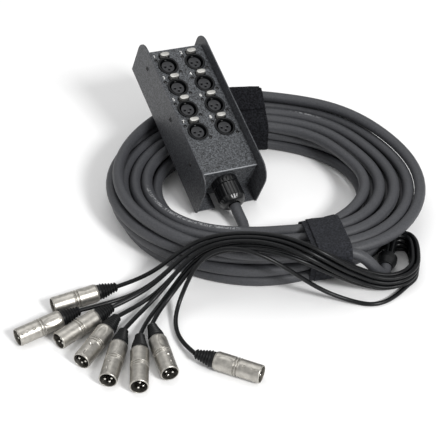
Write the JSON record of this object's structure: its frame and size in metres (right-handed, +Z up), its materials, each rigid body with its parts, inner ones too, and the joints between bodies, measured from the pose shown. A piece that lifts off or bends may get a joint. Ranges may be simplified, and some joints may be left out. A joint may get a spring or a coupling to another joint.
{
  "type": "stage box snake",
  "caption": "Slim metal stage box with paired rows of three-pole sockets and push tabs, cable gland, long coiled multicore and a fan of tails with nickel male plugs.",
  "frame": {"origin": "middle of the bottom of the box, where its lower end rests on the floor", "axes": "+Z up, +Y away from the viewer along the long side of the box, +X to the right"},
  "size_m": [0.4383, 0.4782, 0.1322],
  "materials": {
    "cheek_paint": "textured powder coat",
    "panel_paint": "textured powder coat",
    "socket_plastic": "moulded",
    "tab_nickel": "nickel plated",
    "gland_plastic": "moulded nylon",
    "core_sheath": "flexible sheath",
    "cable_jacket": "matt flexible jacket",
    "hook_loop": "hook and loop tape",
    "shrink_sleeve": "heat shrink",
    "tail_jacket": "smooth flexible jacket",
    "boot_rubber": "moulded rubber",
    "shell_nickel": "satin nickel plate",
    "insert_plastic": "moulded, with three pins"
  },
  "bodies": {
    "box": {"base_channel": "cheek_paint", "breakout_sleeve": "shrink_sleeve", "front_cover": "panel_paint", "gland_body": "gland_plastic", "gland_cap": "gland_plastic", "gland_locknut": "gland_plastic", "inner_cores": "core_sheath", "multicore_coil": "cable_jacket", "multicore_lead": "cable_jacket", "multicore_tail": "cable_jacket", "plug_boot_1": "boot_rubber", "plug_boot_2": "boot_rubber", "plug_boot_3": "boot_rubber", "plug_boot_4": "boot_rubber", "plug_boot_5": "boot_rubber", "plug_boot_6": "boot_rubber", "plug_boot_7": "boot_rubber", "plug_boot_8": "boot_rubber", "plug_insert_1": "insert_plastic", "plug_insert_2": "insert_plastic", "plug_insert_3": "insert_plastic", "plug_insert_4": "insert_plastic", "plug_insert_5": "insert_plastic", "plug_insert_6": "insert_plastic", "plug_insert_7": "insert_plastic", "plug_insert_8": "insert_plastic", "plug_shell_1": "shell_nickel", "plug_shell_2": "shell_nickel", "plug_shell_3": "shell_nickel", "plug_shell_4": "shell_nickel", "plug_shell_5": "shell_nickel", "plug_shell_6": "shell_nickel", "plug_shell_7": "shell_nickel", "plug_shell_8": "shell_nickel", "socket_1": "socket_plastic", "socket_2": "socket_plastic", "socket_3": "socket_plastic", "socket_4": "socket_plastic", "socket_5": "socket_plastic", "socket_6": "socket_plastic", "socket_7": "socket_plastic", "socket_8": "socket_plastic", "strap_front": "hook_loop", "strap_rear": "hook_loop", "tail_1": "tail_jacket", "tail_2": "tail_jacket", "tail_3": "tail_jacket", "tail_4": "tail_jacket", "tail_5": "tail_jacket", "tail_6": "tail_jacket", "tail_7": "tail_jacket", "tail_8": "tail_jacket"},
    "tab_1": {"latch_1": "tab_nickel"},
    "tab_2": {"latch_2": "tab_nickel"},
    "tab_3": {"latch_3": "tab_nickel"},
    "tab_4": {"latch_4": "tab_nickel"},
    "tab_5": {"latch_5": "tab_nickel"},
    "tab_6": {"latch_6": "tab_nickel"},
    "tab_7": {"latch_7": "tab_nickel"},
    "tab_8": {"latch_8": "tab_nickel"}
  },
  "joints": [
    {"name": "tab_1_press", "type": "slide", "parent": "box", "child": "tab_1", "axis": [-0.2488, 0.2994, -0.9211], "range_m": [0, 0.0015], "stiffness_N_per_m": 300, "springref_m": -0.0005},
    {"name": "tab_2_press", "type": "slide", "parent": "box", "child": "tab_2", "axis": [-0.2488, 0.2994, -0.9211], "range_m": [0, 0.0015], "stiffness_N_per_m": 300, "springref_m": -0.0005},
    {"name": "tab_3_press", "type": "slide", "parent": "box", "child": "tab_3", "axis": [-0.2488, 0.2994, -0.9211], "range_m": [0, 0.0015], "stiffness_N_per_m": 300, "springref_m": -0.0005},
    {"name": "tab_4_press", "type": "slide", "parent": "box", "child": "tab_4", "axis": [-0.2488, 0.2994, -0.9211], "range_m": [0, 0.0015], "stiffness_N_per_m": 300, "springref_m": -0.0005},
    {"name": "tab_5_press", "type": "slide", "parent": "box", "child": "tab_5", "axis": [-0.2488, 0.2994, -0.9211], "range_m": [0, 0.0015], "stiffness_N_per_m": 300, "springref_m": -0.0005},
    {"name": "tab_6_press", "type": "slide", "parent": "box", "child": "tab_6", "axis": [-0.2488, 0.2994, -0.9211], "range_m": [0, 0.0015], "stiffness_N_per_m": 300, "springref_m": -0.0005},
    {"name": "tab_7_press", "type": "slide", "parent": "box", "child": "tab_7", "axis": [-0.2488, 0.2994, -0.9211], "range_m": [0, 0.0015], "stiffness_N_per_m": 300, "springref_m": -0.0005},
    {"name": "tab_8_press", "type": "slide", "parent": "box", "child": "tab_8", "axis": [-0.2488, 0.2994, -0.9211], "range_m": [0, 0.0015], "stiffness_N_per_m": 300, "springref_m": -0.0005}
  ]
}
